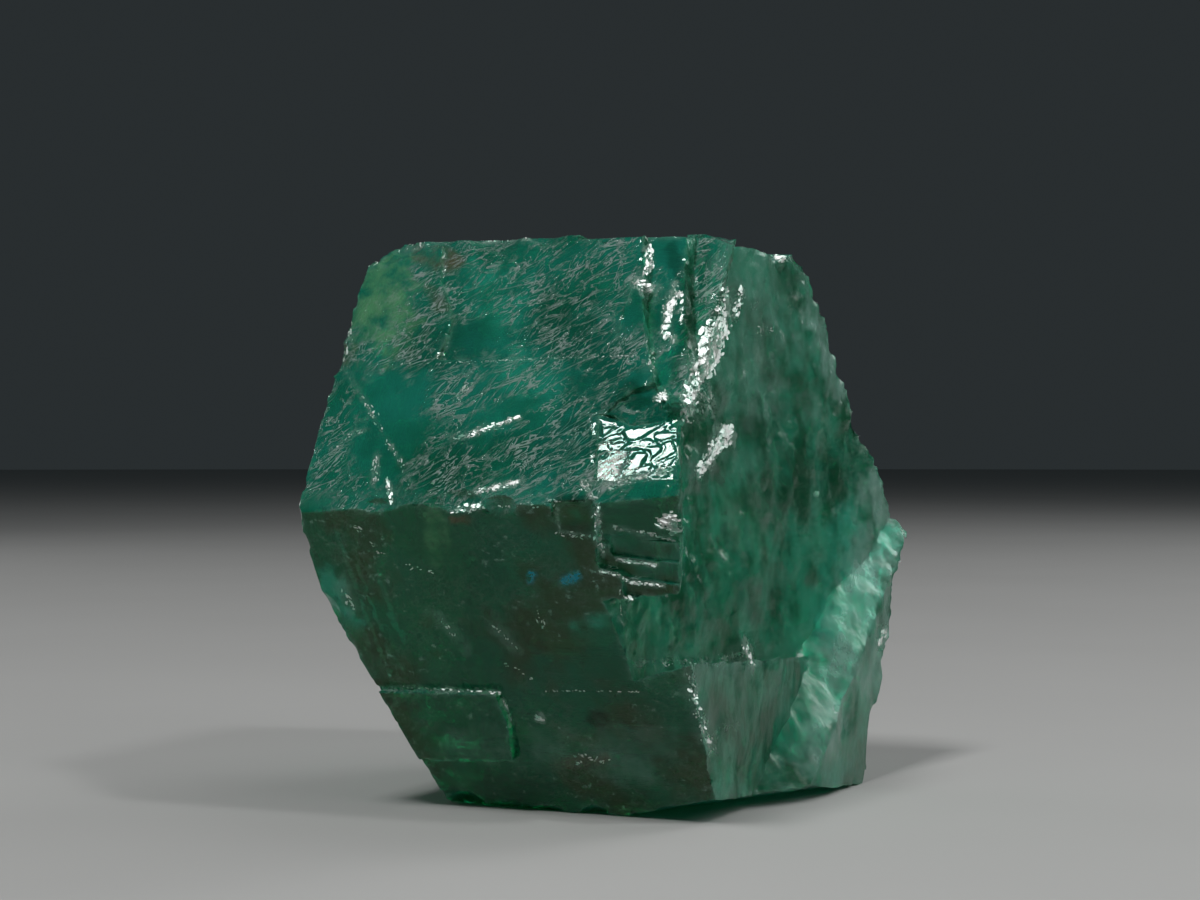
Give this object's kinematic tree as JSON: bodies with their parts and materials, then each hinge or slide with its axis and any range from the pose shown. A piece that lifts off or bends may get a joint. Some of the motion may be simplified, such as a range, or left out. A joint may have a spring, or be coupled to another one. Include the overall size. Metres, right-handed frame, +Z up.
{
  "type": "emerald crystal",
  "caption": "Rough green hexagonal beryl crystal lying on a prism face, with a flat growth face at one end and a stepped, shell-like break at the other.",
  "frame": {"origin": "centre of the bounding box in plan, on the surface that the crystal rests on", "axes": "+X along the prism axis towards the broken end, +Y from the near ridge to the far ridge, +Z up"},
  "size_m": [0.0086, 0.0138, 0.012],
  "materials": {
    "emerald": "see-through deep green crystal, glassy prism faces with fine scratches and a milky, mottled broken end"
  },
  "bodies": {
    "root": {"emerald_crystal": "emerald"}
  },
  "joints": []
}
